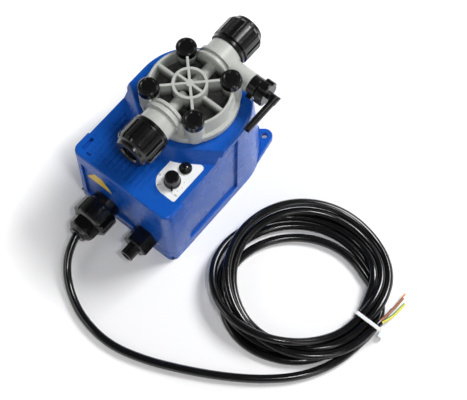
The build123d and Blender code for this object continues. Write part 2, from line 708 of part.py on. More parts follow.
def pump_head():
    head = head_dish() + head_ribs()
    for x, y in bolt_places():
        head += rod(BOSS_RADIUS, HEAD_BASE, BOSS_TOP, x, y)
    for side in (-1, 1):
        head += head_port(side)
    boss = fillet(rod(BLEED_BOSS_RADIUS, 0, BLEED_BOSS_END).edges().group_by(Axis.Z)[-1], 0.8)
    head += bleed_place() * boss
    for x, y in bolt_places():
        head -= rod(CAP_RADIUS + 0.3, BOSS_TOP, BOSS_TOP + CAP_HEIGHT + 3, x, y)
        head -= rod(BOLT_RADIUS + BOLT_CLEARANCE, HEAD_BASE - 1, BOSS_TOP, x, y)
        head -= rod(COUNTERBORE_RADIUS, BOSS_TOP - COUNTERBORE_DEPTH, BOSS_TOP + 1, x, y)
    for side in (-1, 1):
        head -= head_port_bores(side)
    head -= rod(FLANGE_RADIUS + 0.3, TURRET_HEIGHT, HEAD_BASE)
    head -= rod(DIAPHRAGM_RADIUS, HEAD_BASE - 1, HEAD_BASE + DIAPHRAGM_THICKNESS)
    head -= rod(CHAMBER_RADIUS, HEAD_BASE, HEAD_BASE + CHAMBER_DEPTH + 1.5)
    head -= bleed_place() * (rod(1.5, 0, BLEED_BOSS_END) + rod(5.05, BLEED_BOSS_END - 10, BLEED_BOSS_END + 1))
    return head


def head_screws():
    screws = []
    seat = BOSS_TOP - COUNTERBORE_DEPTH
    for x, y in bolt_places():
        shank = rod(BOLT_RADIUS, COLUMN_BASE + 4, seat, x, y)
        head = rod(4.25, seat, seat + 5, x, y) - extrude(
            Pos(x, y, seat + 2.5) * RegularPolygon(2.3, 6), 3)
        screws.append(shank + head)
    return Compound(children=screws)


def screw_caps():
    caps = []
    for x, y in bolt_places():
        high = BOSS_TOP + CAP_HEIGHT
        profile = [
            (0, BOSS_TOP - 2), (COUNTERBORE_RADIUS - 0.05, BOSS_TOP - 2),
            (COUNTERBORE_RADIUS - 0.05, BOSS_TOP),
            (CAP_RADIUS, BOSS_TOP), (CAP_RADIUS, high - 1.2), (CAP_RADIUS - 1.2, high),
            (CAP_RADIUS - 2.4, high), (CAP_RADIUS - 3.0, high - 0.5), (0, high - 0.5),
        ]
        caps.append(Pos(x, y) * revolved(profile))
    return Compound(children=caps)


# ---------------------------------------------------------------- valves and unions
def valve_place(side):
    """Puts local +Z along the flow, from the start of a valve cartridge."""
    if side > 0:
        return port_place(1) * Pos(0, 0, VALVE_START)
    return port_place(-1) * Pos(0, 0, VALVE_START + VALVE_LENGTH) * Rot(180, 0, 0)


def ball_centre():
    """How far the seated ball's centre lies above the seat's face."""
    return math.sqrt(BALL_RADIUS ** 2 - SEAT_HOLE_RADIUS ** 2) + SEAT_CLEARANCE


def valve_seat(side):
    return valve_place(side) * tube(VALVE_RADIUS, SEAT_HOLE_RADIUS, 0, SEAT_LENGTH)


def ball_cage(side):
    stop = SEAT_LENGTH + ball_centre() + BALL_LIFT + BALL_RADIUS + SEAT_CLEARANCE
    cage = tube(VALVE_RADIUS, BALL_RADIUS + BALL_SIDE_CLEARANCE, SEAT_LENGTH, VALVE_LENGTH)
    cage += tube(VALVE_RADIUS - 1, SEAT_HOLE_RADIUS, stop, VALVE_LENGTH)
    return valve_place(side) * cage


def valve_ball(side):
    return valve_place(side) * Pos(0, 0, SEAT_LENGTH + ball_centre()) * Sphere(BALL_RADIUS)


def union_seal(side):
    return port_place(side) * tube(NIPPLE_FLANGE_RADIUS, 5.5, SPIGOT_END, NIPPLE_FACE)


def hose_nipple(side):
    """The hose cone: a flange clamped by the nut and a ridged tip."""
    root = NIPPLE_FACE + NIPPLE_FLANGE
    tip = root + NIPPLE_LENGTH
    profile = [
        (NIPPLE_BORE, NIPPLE_FACE), (NIPPLE_FLANGE_RADIUS, NIPPLE_FACE), (NIPPLE_FLANGE_RADIUS, root),
        (NIPPLE_TIP_RADIUS, root), (NIPPLE_ROOT_RADIUS, root + 0.6), (NIPPLE_ROOT_RADIUS, root + 1.8),
        (NIPPLE_TIP_RADIUS, root + 2.6), (NIPPLE_TIP_RADIUS + 0.4, root + 3.2),
        (NIPPLE_TIP_RADIUS - 0.6, tip), (NIPPLE_BORE, tip),
    ]
    return port_place(side) * revolved(profile)


def grooved(body, count, radius, depth, width, low, high, phase=0.0):
    """Cuts evenly spaced lengthwise grooves into a round body."""
    for index in range(count):
        turn = phase + 360.0 / count * index
        cutter = box_between((radius - depth, -width / 2, low), (radius + 2, width / 2, high))
        body -= Rot(0, 0, turn) * cutter
    return body


def union_nut(side):
    """The union nut: plain collar, broad grooved grip, stepped nose and open mouth."""
    low = UNION_START
    high = UNION_END
    bore = SPIGOT_RADIUS + THREAD_CLEARANCE
    inner_end = NIPPLE_FACE + NIPPLE_FLANGE + 0.02
    profile = [
        (bore, low), (NUT_RADIUS - 1.6, low), (NUT_RADIUS - 0.9, low + 0.6), (NUT_RADIUS - 0.9, low + 2.4),
        (NUT_RADIUS - 1.7, low + 2.8), (NUT_RADIUS - 1.7, low + 3.6), (NUT_RADIUS, low + 4.4),
        (NUT_RADIUS, high - 6.5), (NUT_RADIUS - 1.4, high - 4.4), (NUT_RADIUS - 3.0, high - 3.2),
        (NUT_RADIUS - 3.6, high - 0.8), (NUT_RADIUS - 4.4, high), (NUT_MOUTH_RADIUS + 1.2, high),
        (NUT_MOUTH_RADIUS, high - 1.2), (NUT_MOUTH_RADIUS, high - NUT_END_WALL),
        (10.0, high - NUT_END_WALL), (10.0, inner_end), (bore, inner_end),
    ]
    body = revolved(profile)
    grip = (low + 5.2, high - 3.6)
    nut = grooved(body, NUT_GROOVES, NUT_RADIUS, NUT_GROOVE_DEPTH, NUT_GROOVE_WIDTH, *grip, phase=8.0)
    return port_place(side) * nut


# ---------------------------------------------------------------- bleed valve
def bleed_valve_body():
    """The black valve body: a plug in the head, a round collar and a lifting tab."""
    low = BLEED_BOSS_END
    high = low + BLEED_COLLAR_LENGTH
    profile = [
        (SHAFT_RADIUS - 0.95, low - 9), (5.0, low - 9), (5.0, low), (BLEED_COLLAR_RADIUS - 0.8, low),
        (BLEED_COLLAR_RADIUS, low + 0.8), (BLEED_COLLAR_RADIUS, high - 1.6),
        (BLEED_COLLAR_RADIUS - 1.6, high),
        (SHAFT_RADIUS - 0.95, high),
    ]
    tab = box_between((BLEED_COLLAR_RADIUS - 1.5, -1.6, low + 2), (BLEED_COLLAR_RADIUS + 3.0, 1.6, high - 2))
    return bleed_place() * (revolved(profile) + Rot(0, 0, 25) * tab)


def bleed_knob():
    """The lobed bleed knob with its hollow spindle."""
    low = BLEED_BOSS_END + BLEED_COLLAR_LENGTH + TURNING_GAP
    high = low + BLEED_KNOB_LENGTH
    disc = fillet(rod(BLEED_KNOB_RADIUS, low, high).edges(), 1.0)
    for index in range(BLEED_KNOB_LOBES):
        angle = 2 * math.pi * index / BLEED_KNOB_LOBES
        reach = BLEED_KNOB_RADIUS + 1.2
        disc -= rod(3.0, low - 1, high + 1, reach * math.cos(angle), reach * math.sin(angle))
    spindle = rod(SHAFT_RADIUS - 1.0, low - 14, low + 1)
    knob = disc + spindle - rod(SPOUT_BORE, low - 15, high + 1)
    return bleed_place() * (knob - rod(SPOUT_RADIUS + SLIDING_FIT, high - 5, high + 1))


def bleed_elbow():
    """The swivelling outlet: a mitred elbow with a shoulder and a straight hose spout."""
    low = BLEED_BOSS_END + BLEED_COLLAR_LENGTH + TURNING_GAP + BLEED_KNOB_LENGTH
    centre = low + TURNING_GAP + SPOUT_OFFSET
    along = Pos(0, 0, centre) * Rot(0, 90, 0)
    beyond = Pos(0, 0, centre) * Rot(0, 45, 0) * Pos(0, 0, SPOUT_LENGTH) * Box(*[2 * SPOUT_LENGTH] * 3)
    stub = rod(SPOUT_RADIUS, low - 4.5, low + 1)
    barrel = rod(ELBOW_RADIUS, low + TURNING_GAP, centre + ELBOW_RADIUS) - beyond
    arm = (along * rod(ELBOW_RADIUS, -ELBOW_RADIUS, ELBOW_SHOULDER)) & beyond
    spout = along * rod(SPOUT_RADIUS, ELBOW_SHOULDER, SPOUT_LENGTH)
    elbow = stub + barrel + arm + spout - along * rod(SPOUT_BORE, 0, SPOUT_LENGTH + 1)
    return bleed_place() * (elbow - rod(SPOUT_BORE, low - 6, centre))


# ---------------------------------------------------------------- cable entries
def gland_body():
    """The gland's threaded body: inner spigot, flange on the end panel, outer thread."""
    low = -END_PANEL_DEPTH
    flange = low + GLAND_FLANGE
    profile = [
        (4.2, -WALL - 6), (7.95, -WALL - 6), (7.95, low), (GLAND_FLANGE_RADIUS, low),
        (GLAND_FLANGE_RADIUS, flange - 0.4), (10.0, flange - 0.4),
        (10.0, flange + 15.5), (4.2, flange + 15.5),
    ]
    return end_place(GLAND_X, GLAND_Z) * revolved(profile)


def gland_locknut():
    nut = extrude(RegularPolygon(12.0, 6), 4.0) - rod(8.0, -1, 5)
    return end_place(GLAND_X, GLAND_Z) * Pos(0, 0, -WALL - 4.0) * nut


def gland_fluted_nut():
    low = GLAND_FLANGE - END_PANEL_DEPTH
    high = low + GLAND_NUT_LENGTH
    profile = [
        (10.05, low), (NUT_RADIUS - 0.8, low), (NUT_RADIUS, low + 0.8), (NUT_RADIUS, high - 3.0),
        (NUT_RADIUS - 1.2, high - 1.6), (NUT_RADIUS - 3.4, high), (10.05, high),
    ]
    nut = grooved(revolved(profile), 12, NUT_RADIUS, 1.2, 2.0, low + 2.2, high - 1.4, phase=6.0)
    return end_place(GLAND_X, GLAND_Z) * nut


def gland_dome_nut():
    """The clamping nut: six flats that run into a dome with a round mouth."""
    low = GLAND_FLANGE - END_PANEL_DEPTH + GLAND_NUT_LENGTH
    high = low + GLAND_DOME_LENGTH
    mouth = CORD_DIAMETER / 2 + 0.25
    profile = [
        (8.2, low), (GLAND_DOME_RADIUS + 1, low), (GLAND_DOME_RADIUS + 1, low + 6.5),
        (GLAND_DOME_RADIUS - 1, low + 9.5), (GLAND_MOUTH_RADIUS + 0.8, high - 2.2),
        (GLAND_MOUTH_RADIUS, high - 1.6), (GLAND_MOUTH_RADIUS, high - 0.6), (GLAND_MOUTH_RADIUS - 0.6, high),
        (mouth, high), (mouth, high - 4), (8.2, high - 6),
    ]
    hexagon = extrude(Pos(0, 0, low) * RegularPolygon(GLAND_DOME_RADIUS + 1, 6), high - low)
    return end_place(GLAND_X, GLAND_Z) * (revolved(profile) & hexagon)


def gland_seal():
    low = GLAND_FLANGE - END_PANEL_DEPTH + 15.6
    high = GLAND_FLANGE - END_PANEL_DEPTH + GLAND_NUT_LENGTH + 7.3
    return end_place(GLAND_X, GLAND_Z) * tube(7.9, CORD_DIAMETER / 2 + 0.05, low, high)


def signal_socket():
    """The hexagonal signal socket body with its raised nose ring."""
    body = extrude(RegularPolygon(SOCKET_ACROSS_FLATS / 2, 6, major_radius=False), SOCKET_LENGTH)
    body = chamfer(body.edges().group_by(Axis.Z)[-1], 1.0)
    spigot = rod(7.95, -WALL - 6, 1)
    return end_place(SOCKET_X, SOCKET_Z) * (body + spigot - rod(SOCKET_BORE, -WALL - 7, SOCKET_LENGTH + 1))


def signal_tube():
    low = SOCKET_LENGTH
    high = low + SOCKET_TUBE_LENGTH
    profile = [
        (SOCKET_BORE, low), (SOCKET_TUBE_RADIUS, low), (SOCKET_TUBE_RADIUS, high - 0.6),
        (SOCKET_TUBE_RADIUS - 0.6, high), (SOCKET_BORE, high),
    ]
    return end_place(SOCKET_X, SOCKET_Z) * revolved(profile)


def signal_locknut():
    nut = extrude(RegularPolygon(11.5, 6), 4.0) - rod(8.0, -1, 5)
    return end_place(SOCKET_X, SOCKET_Z) * Pos(0, 0, -WALL - 4.0) * nut


# ---------------------------------------------------------------- cord
FLOOR = CORD_DIAMETER / 2 + 0.05
GLAND_MOUTH_Y = -(BOTTOM_END + GLAND_FLANGE - END_PANEL_DEPTH + GLAND_NUT_LENGTH + GLAND_DOME_LENGTH)
LEAD_POINTS = [
    (GLAND_X, GLAND_MOUTH_Y, GLAND_Z),
    (-18.5, -139.0, 14.5),
    (-9.5, -153.5, 8.0),
    (6.0, -165.5, FLOOR),
    (28.0, -175.0, FLOOR),
    (58.0, -178.0, FLOOR),
    (89.0, -169.5, FLOOR),
    (119.0, -155.5, FLOOR),
    (147.0, -140.0, FLOOR),
    (173.0, -122.0, FLOOR),
    (195.0, -101.0, FLOOR),
    (209.0, -77.0, FLOOR),
    (214.0, -54.0, FLOOR),
]

WIRE_POINTS = {
    "wire_brown": [(217.0, -27.0, 9.5), (219.3, -12.0, 7.0), (219.6, 4.0, 5.0)],
    "wire_blue": [(216.8, -27.0, 2.6), (218.4, -17.5, 1.6), (218.0, -8.0, 1.3)],
    "wire_earth": [(217.5, -27.5, 6.0), (222.3, -14.0, 3.5), (223.3, 2.0, 1.4)],
}


def corner_radii(points):
    """Each corner's largest arc: 0.45 of its shorter run over the tangent of half its turn."""
    radii = []
    for before, here, after in zip(points, points[1:], points[2:]):
        first = Vector(*here) - Vector(*before)
        second = Vector(*after) - Vector(*here)
        half_turn = math.radians(first.get_angle(second)) / 2
        radii.append(0.45 * min(first.length, second.length) / math.tan(half_turn))
    return radii


def cord_along(points, diameter, label):
    radii = corner_radii(points)
    path = FilletPolyline(*points, radius=radii)
    start = Plane(origin=points[0], z_dir=Vector(*points[1]) - Vector(*points[0]))
    cord = sweep(start * Circle(diameter / 2), path=path)
    expected = math.pi * diameter ** 2 / 4 * path.length
    print(label, "radii", [round(radius, 1) for radius in radii])
    print(label, "length", round(path.length, 1), "volume ratio", round(cord.volume / expected, 4))
    return cord


def tie_band():
    low_x = COIL_HOLE_CENTRE[0] + 47.5
    high_x = COIL_CENTRE[0] + 77.5
    half = TIE_WIDTH / 2
    outer = box_between((low_x, TIE_Y - half, 0.05), (high_x, TIE_Y + half, COIL_HEIGHT + 1))
    return fillet(outer.edges().filter_by(Axis.Y), 3.0)


def tie_hole():
    box = tie_band().bounding_box()
    low = (box.min.X + TIE_THICKNESS, TIE_Y - TIE_WIDTH, box.min.Z + TIE_THICKNESS)
    high = (box.max.X - TIE_THICKNESS, TIE_Y + TIE_WIDTH, box.max.Z - TIE_THICKNESS)
    return fillet(box_between(low, high).edges().filter_by(Axis.Y), 2.0)


def cord_tie():
    band = tie_band() - tie_hole()
    box = band.bounding_box()
    head = box_between((box.max.X - 0.5, TIE_Y - 2.2, 1.0), (box.max.X + 3.5, TIE_Y + 2.2, 5.5))
    return band + head


def cord_coil():
    """The tied coil's outer form, a flat oval ring that is notched where the tie grips it."""
    outer = Pos(*COIL_CENTRE) * Rot(0, 0, COIL_TURN) * Ellipse(*COIL_OUTER)
    hole = Pos(*COIL_HOLE_CENTRE) * Rot(0, 0, COIL_TURN) * Ellipse(*COIL_HOLE)
    ring = extrude(outer - hole, COIL_HEIGHT)
    box = tie_band().bounding_box()
    low = (box.min.X - 9, TIE_Y - TIE_WIDTH, -1)
    notch = box_between(low, (box.max.X + 9, TIE_Y + TIE_WIDTH, COIL_HEIGHT + 2))
    ring -= notch - tie_hole()
    for piece in [cord_lead(), *wires().values()]:
        ring -= piece
    return ring


def cord_lead():
    return cord_along(LEAD_POINTS, CORD_DIAMETER, "lead")


def wires():
    return {name: cord_along(points, WIRE_DIAMETER, name) for name, points in WIRE_POINTS.items()}


def build():
    save(housing_shell(), "housing_shell")
    save(back_cover(), "back_cover")
    save(cover_gasket(), "cover_gasket")
    save(cover_screws(), "cover_screws")
    save(label_plate(), "label_plate")
    save(led_bezel(), "led_bezel")
    save(led_lens(), "led_lens")
    save(control_knob(), "control_knob")
    save(knob_shaft(), "knob_shaft")
    save(potentiometer(), "potentiometer")
    save(control_board(), "control_board")
    save(board_screws(), "board_screws")
    save(solenoid_frame(), "solenoid_frame")
    save(coil_bobbin(), "coil_bobbin")
    save(coil_winding(), "coil_winding")
    save(pole_piece(), "pole_piece")
    save(guide_bush(), "guide_bush")
    save(stroke_stop(), "stroke_stop")
    save(armature(), "armature")
    save(plunger_shaft(), "plunger_shaft")
    save(diaphragm_plate(), "diaphragm_plate")
    save(return_spring(), "return_spring")
    save(head_backplate(), "head_backplate")
    save(diaphragm(), "diaphragm")
    save(pump_head(), "pump_head")
    save(head_screws(), "head_screws")
    save(screw_caps(), "screw_caps")
    for side, name in ((-1, "suction"), (1, "discharge")):
        save(valve_seat(side), name + "_valve_seat")
        save(ball_cage(side), name + "_ball_cage")
        save(valve_ball(side), name + "_ball")
        save(union_seal(side), name + "_seal")
        save(hose_nipple(side), name + "_hose_nipple")
        save(union_nut(side), name + "_union_nut")
    save(bleed_valve_body(), "bleed_valve_body")
    save(bleed_knob(), "bleed_knob")
    save(bleed_elbow(), "bleed_elbow")
    save(gland_body(), "gland_body")
    save(gland_locknut(), "gland_locknut")
    save(gland_fluted_nut(), "gland_fluted_nut")
    save(gland_dome_nut(), "gland_dome_nut")
    save(gland_seal(), "gland_seal")
    save(signal_socket(), "signal_socket")
    save(signal_tube(), "signal_tube")
    save(signal_locknut(), "signal_locknut")
    save(cord_lead(), "cord_lead")
    save(cord_coil(), "cord_coil")
    save(cord_tie(), "cord_tie")
    for name, wire in wires().items():
        save(wire, name)


build()
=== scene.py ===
import json
import math

import bmesh
import bpy
import numpy as np
from mathutils import Matrix, Vector


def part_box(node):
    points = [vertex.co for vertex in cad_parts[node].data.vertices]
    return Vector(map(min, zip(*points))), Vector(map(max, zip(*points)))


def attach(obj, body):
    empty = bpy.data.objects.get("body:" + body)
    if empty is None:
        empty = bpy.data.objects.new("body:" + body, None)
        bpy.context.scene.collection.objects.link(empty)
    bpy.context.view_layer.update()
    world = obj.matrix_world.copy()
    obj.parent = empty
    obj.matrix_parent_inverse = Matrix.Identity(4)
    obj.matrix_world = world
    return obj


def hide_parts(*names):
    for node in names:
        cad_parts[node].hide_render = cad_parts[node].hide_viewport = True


bl_info = {
    "name": "Metering pump finish",
    "version": (1, 0, 0),
    "blender": (4, 5, 0),
    "location": "View3D > Sidebar > Pump",
    "description": "Finishes, mains lead, dial marks and studio for a diaphragm metering pump",
    "category": "Object",
}

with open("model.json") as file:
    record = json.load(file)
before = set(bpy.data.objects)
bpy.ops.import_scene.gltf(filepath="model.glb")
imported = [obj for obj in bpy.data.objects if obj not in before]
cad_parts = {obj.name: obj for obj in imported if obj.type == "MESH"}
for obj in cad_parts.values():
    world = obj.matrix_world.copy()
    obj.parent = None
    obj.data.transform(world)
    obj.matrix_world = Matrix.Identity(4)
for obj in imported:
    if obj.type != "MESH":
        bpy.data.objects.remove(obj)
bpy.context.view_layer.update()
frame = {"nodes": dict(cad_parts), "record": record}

MM = 0.001
CORD_DIAMETER = 7 * MM
COIL_CENTRE = Vector((145.4, -37.4, 0.0)) * MM
COIL_TURN = math.radians(39.6)
TIE_CENTRE = Vector((210.0, -33.0, 0.0)) * MM
TIE_LANE = 7.05 * MM
JOIN_POINT = Vector((214.5 * MM, -55.0 * MM, CORD_DIAMETER / 2))
CUT_END = Vector((0.4, 7.0, -1.2)) * MM
FINE_STEPS = 3
TIE_ANGLE = math.radians(-37)
TIE_REACH = math.radians(30)
LANE_LENGTH = 66 * MM
LANE_BOW = 60 * MM
TOP_LEFT = math.radians(125)
BOTTOM_LEFT = math.radians(215)
TURN_RISE = 0.25
SETTLE_ROUNDS = 260
NEIGHBOURS = 8
END_PANEL_Y = -88.0 * MM
TRIANGLE_CORNERS = [(-39.2, 46.0), (-12.0, 46.0), (-25.6, 67.2)]
DIAL_START = -53
DIAL_STEP = 28.6
DIAL_TICKS = 11
DIAL_RADIUS = 8.9 * MM
NUMBER_RADIUS = 11.9 * MM
DIAL_NUMBERS = (("0", 233), ("50", 188), ("100", -40))
LAMP_BEZEL_TURN = 138
LAMP_BEZEL_REACH = 25
# Distances from the floor's centre over which its painted glow rises from weak to full.
FLOOR_NEAR = 0.14
FLOOR_FAR = 0.27
LEAD_POINTS = [
    (-21.0, -126.8, 17.6),
    (-18.5, -139.0, 14.5),
    (-9.5, -153.5, 8.0),
    (6.0, -165.5, 3.55),
    (28.0, -175.0, 3.55),
    (58.0, -178.0, 3.55),
    (89.0, -169.5, 3.55),
    (119.0, -155.5, 3.55),
    (147.0, -140.0, 3.55),
    (173.0, -122.0, 3.55),
    (195.0, -101.0, 3.55),
    (209.0, -77.0, 3.55),
]
# Each turn of the coil, from the floor up: its centre and half sizes in millimetres along and
# across the coil, then how high it lies at its top left and at its bottom left, in cord layers.
TURNS = [
    ((-3.7, -14.0), (61.5, 54.2), (0.0, 0.0)),
    ((-4.4, -4.6), (63.2, 55.7), (0.0, 1.6)),
    ((-5.3, 1.2), (68.0, 57.8), (0.6, 1.9)),
    ((5.1, 0.8), (61.8, 60.6), (1.6, 0.6)),
    ((6.2, 1.6), (67.7, 65.6), (2.2, 0.8)),
]


# ------------------------------------------------------------------ settings
class PumpSettings(bpy.types.PropertyGroup):
    """Colours and sizes that a user would change."""

    housing_colour: bpy.props.FloatVectorProperty(
        name="Housing", description="Colour of the moulded housing and cover",
        default=(0.005, 0.088, 0.45), size=3, subtype="COLOR", min=0, max=1)
    head_colour: bpy.props.FloatVectorProperty(
        name="Pump head", description="Colour of the pump head",
        default=(0.46, 0.475, 0.445), size=3, subtype="COLOR", min=0, max=1)
    black_colour: bpy.props.FloatVectorProperty(
        name="Black parts", description="Colour of the nuts, caps, glands and knobs",
        default=(0.004, 0.004, 0.0042), size=3, subtype="COLOR", min=0, max=1)
    cord_colour: bpy.props.FloatVectorProperty(
        name="Lead", description="Colour of the mains lead's jacket",
        default=(0.0035, 0.0035, 0.004), size=3, subtype="COLOR", min=0, max=1)
    triangle_colour: bpy.props.FloatVectorProperty(
        name="Triangle", description="Colour of the plain triangle on the end panel",
        default=(0.84, 0.57, 0.03), size=3, subtype="COLOR", min=0, max=1)
    coil_points: bpy.props.IntProperty(
        name="Coil points", description="Control points in each turn of the coil",
        default=20, min=12, max=36)
    mark_height: bpy.props.FloatProperty(
        name="Number height", description="Height of the numbers round the knob",
        default=1.7 * MM, min=0.5 * MM, max=4 * MM, unit="LENGTH")
    light_level: bpy.props.FloatProperty(
        name="Light", description="Strength of the studio lamps as a share of their set level",
        default=1.0, min=0.1, max=3.0, subtype="FACTOR")


# ------------------------------------------------------------------ materials
class Finish:
    """A material's node tree, with short ways to add the nodes that every finish shares."""

    def __init__(self, name):
        self.material = bpy.data.materials.new(name)
        self.material.use_nodes = True
        self.tree = self.material.node_tree
        self.tree.nodes.clear()
        self.output = self.add("ShaderNodeOutputMaterial")
        self.shader = self.add("ShaderNodeBsdfPrincipled")
        self.link(self.shader.outputs["BSDF"], self.output.inputs["Surface"])
        self.place = self.add("ShaderNodeTexCoord").outputs["Object"]

    def add(self, kind, **values):
        node = self.tree.nodes.new(kind)
        for key, value in values.items():
            setattr(node, key, value)
        return node

    def link(self, start, end):
        self.tree.links.new(start, end)

    def noise(self, scale, detail=2.0, roughness=0.5, stretch=None):
        node = self.add("ShaderNodeTexNoise")
        node.inputs["Scale"].default_value = scale
        node.inputs["Detail"].default_value = detail
        node.inputs["Roughness"].default_value = roughness
        if stretch:
            mapping = self.add("ShaderNodeMapping")
            mapping.inputs["Scale"].default_value = stretch
            self.link(self.place, mapping.inputs["Vector"])
            self.link(mapping.outputs["Vector"], node.inputs["Vector"])
        else:
            self.link(self.place, node.inputs["Vector"])
        return node.outputs["Fac"]

    def span(self, value, from_low, from_high, to_low, to_high):
        node = self.add("ShaderNodeMapRange")
        numbers = (from_low, from_high, to_low, to_high)
        for key, number in zip(("From Min", "From Max", "To Min", "To Max"), numbers):
            node.inputs[key].default_value = number
        self.link(value, node.inputs["Value"])
        return node.outputs["Result"]

    def mix(self, factor, first, second):
        node = self.add("ShaderNodeMix", data_type="RGBA")
        for key, value in (("A", first), ("B", second)):
            socket = next(s for s in node.inputs if s.name == key and s.type == "RGBA")
            if hasattr(value, "is_output"):
                self.link(value, socket)
            else:
                socket.default_value = (*value[:3], 1.0)
        self.link(factor, node.inputs[0])
        return next(s for s in node.outputs if s.type == "RGBA")

    def edges(self, radius):
        """(rounded normal, mask that is 1 on sharp edges)"""
        bevel = self.add("ShaderNodeBevel", samples=6)
        bevel.inputs["Radius"].default_value = radius
        geometry = self.add("ShaderNodeNewGeometry")
        dot = self.add("ShaderNodeVectorMath", operation="DOT_PRODUCT")
        self.link(bevel.outputs["Normal"], dot.inputs[0])
        self.link(geometry.outputs["Normal"], dot.inputs[1])
        return bevel.outputs["Normal"], self.span(dot.outputs["Value"], 0.99, 0.82, 0.0, 1.0)

    def painted_pocket_shade(self, radius, floor, shade_top):
        """Painted shade: darkens what lies near the upright axis and low down, as shade falls in a pocket."""
        sort = self.add("ShaderNodeSeparateXYZ")
        self.link(self.place, sort.inputs[0])
        flat = self.add("ShaderNodeCombineXYZ")
        self.link(sort.outputs["X"], flat.inputs["X"])
        self.link(sort.outputs["Y"], flat.inputs["Y"])
        reach = self.add("ShaderNodeVectorMath", operation="LENGTH")
        self.link(flat.outputs[0], reach.inputs[0])
        inside = self.span(reach.outputs["Value"], radius, radius + 0.002, 1.0, 0.0)
        depth = self.span(sort.outputs["Z"], floor, shade_top, 1.0, 0.0)
        amount = self.add("ShaderNodeMath", operation="MULTIPLY")
        self.link(inside, amount.inputs[0])
        self.link(depth, amount.inputs[1])
        # Painted shade, made a little patchy: noise keeps 86 to 100 % of it.
        patchy_shade = self.add("ShaderNodeMath", operation="MULTIPLY")
        self.link(amount.outputs[0], patchy_shade.inputs[0])
        self.link(self.span(self.noise(180, 4), 0.3, 0.7, 0.86, 1.0), patchy_shade.inputs[1])
        colour = self.shader.inputs["Base Color"]
        unshaded_colour = colour.links[0].from_socket
        self.link(self.mix(patchy_shade.outputs[0], unshaded_colour, (0.02, 0.02, 0.019)), colour)

    def bump(self, height, strength, distance, normal=None):
        node = self.add("ShaderNodeBump")
        node.inputs["Strength"].default_value = strength
        node.inputs["Distance"].default_value = distance
        self.link(height, node.inputs["Height"])
        if normal:
            self.link(normal, node.inputs["Normal"])
        return node.outputs["Normal"]

    def set(self, **values):
        for key, value in values.items():
            self.shader.inputs[key.replace("_", " ")].default_value = value


def scaled(colour, factor):
    return tuple(min(1.0, c * factor) for c in colour[:3])


def moulded(name, colour, roughness, grain=1400.0, relief=0.12, edge=0.35, wear=1.35, drift=0.08):
    """Moulded plastic: fine grain, slow colour drift, rubbed and slightly paler edges."""
    f = Finish(name)
    normal, on_edge = f.edges(edge * MM)
    drifted = f.mix(f.noise(35, 3), scaled(colour, 1 - drift), scaled(colour, 1 + drift))
    scuffs = f.span(f.noise(260, 6, 0.7), 0.55, 0.75, 0.0, 1.0)
    worn = f.add("ShaderNodeMath", operation="MULTIPLY")
    f.link(on_edge, worn.inputs[0])
    f.link(f.span(scuffs, 0, 1, 0.35, 1.0), worn.inputs[1])
    f.link(f.mix(worn.outputs[0], drifted, scaled(colour, wear)), f.shader.inputs["Base Color"])
    f.link(f.span(f.noise(55, 2), 0.3, 0.7, roughness * 0.85, roughness * 1.18),
           f.shader.inputs["Roughness"])
    f.link(f.bump(f.noise(grain, 2), relief, 0.05 * MM, normal), f.shader.inputs["Normal"])
    return f


def housing_finish(settings):
    f = moulded("housing_plastic", settings.housing_colour, 0.28, relief=0.035, edge=0.6, wear=1.3,
                drift=0.03)
    f.set(Specular_IOR_Level=0.32)
    return f.material


def head_finish(settings):
    f = moulded("head_plastic", settings.head_colour, 0.3, relief=0.08, edge=0.5, wear=1.25, drift=0.05)
    # Painted shade on the pocket floor inside the head's rim, fading out by the rim's top.
    f.painted_pocket_shade(30.5 * MM, 108 * MM, 117.5 * MM)
    return f.material


def black_finish(settings):
    f = moulded("black_plastic", settings.black_colour, 0.19, relief=0.04, edge=0.35, wear=2.0)
    f.set(Specular_IOR_Level=0.5)
    return f.material


def black_inner_finish(settings):
    return moulded("black_filled_plastic", scaled(settings.black_colour, 2.5), 0.5).material


def label_finish(settings):
    f = moulded("label_plastic", (0.86, 0.87, 0.88), 0.38, grain=900, relief=0.05, edge=0.15, wear=1.0,
                drift=0.015)
    return f.material


def lens_finish(settings):
    f = moulded("lens_plastic", (0.002, 0.0015, 0.0015), 0.05, relief=0.0, edge=0.1, wear=1.0)
    f.set(Coat_Weight=0.6, Coat_Roughness=0.03)
    return f.material


def valve_finish(settings):
    return moulded("valve_plastic", (0.5, 0.5, 0.47), 0.4, relief=0.08, wear=1.15).material


def rubber_finish(settings):
    return moulded("seal_rubber", (0.02, 0.02, 0.02), 0.62, grain=2200, relief=0.2, wear=1.6).material


def ceramic_finish(settings):
    f = moulded("ceramic", (0.78, 0.78, 0.75), 0.12, relief=0.02, wear=1.0, drift=0.02)
    return f.material


def diaphragm_finish(settings):
    return moulded("diaphragm_face", (0.75, 0.75, 0.72), 0.42, relief=0.06, wear=1.05).material


def metal(name, colour, roughness, stretch):
    """Turned or drawn metal, with fine lines along one direction."""
    f = Finish(name)
    normal, on_edge = f.edges(0.2 * MM)
    lines = f.noise(900, 3, 0.6, stretch)
    f.set(Metallic=1.0)
    tone = f.mix(lines, scaled(colour, 0.85), scaled(colour, 1.1))
    f.link(f.mix(on_edge, tone, scaled(colour, 1.3)), f.shader.inputs["Base Color"])
    f.link(f.span(lines, 0.3, 0.7, roughness * 0.8, roughness * 1.3), f.shader.inputs["Roughness"])
    f.link(f.bump(lines, 0.12, 0.02 * MM, normal), f.shader.inputs["Normal"])
    return f.material


def steel_finish(settings):
    return metal("plated_steel", (0.56, 0.57, 0.58), 0.3, (1.0, 1.0, 6.0))


def bronze_finish(settings):
    return metal("sintered_bronze", (0.48, 0.3, 0.13), 0.45, (1.0, 1.0, 1.0))


def copper_finish(settings):
    return metal("enamelled_copper", (0.72, 0.28, 0.12), 0.28, (0.05, 0.05, 1.0))


def board_finish(settings):
    return moulded("circuit_board", (0.02, 0.16, 0.06), 0.4, grain=700, relief=0.2, wear=1.4).material


